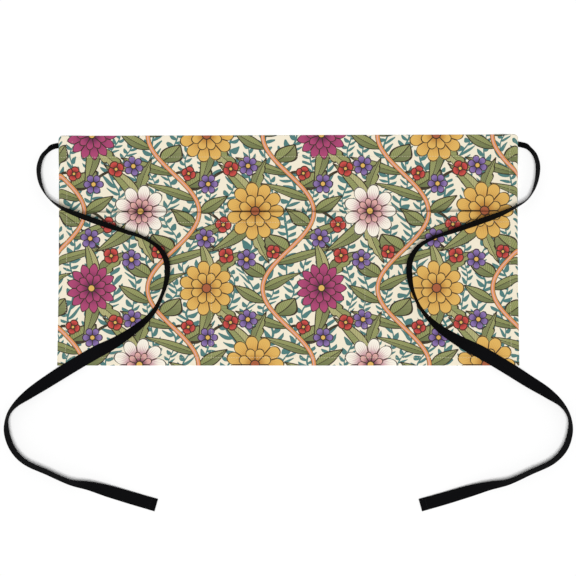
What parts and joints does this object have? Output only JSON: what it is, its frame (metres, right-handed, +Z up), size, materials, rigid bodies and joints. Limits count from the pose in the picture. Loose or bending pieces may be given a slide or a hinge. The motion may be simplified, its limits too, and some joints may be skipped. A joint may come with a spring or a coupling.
{
  "type": "half waist apron",
  "caption": "Half waist apron of printed floral cloth with a front panel sewn into pockets and black ribbon ties, laid flat face up.",
  "frame": {"origin": "on the supporting surface under the middle of the panel", "axes": "+X along the waist edge to the viewer's right, +Y towards the waist edge, +Z up from the printed face"},
  "size_m": [0.7516, 0.4975, 0.033],
  "materials": {
    "printed_cloth": "matte plain weave with an all-over floral print",
    "black_ribbon": "matte ribbed ribbon"
  },
  "bodies": {
    "root": {"body_panel": "printed_cloth", "pocket_panel": "printed_cloth", "tie_left": "black_ribbon", "tie_right": "black_ribbon"}
  },
  "joints": []
}
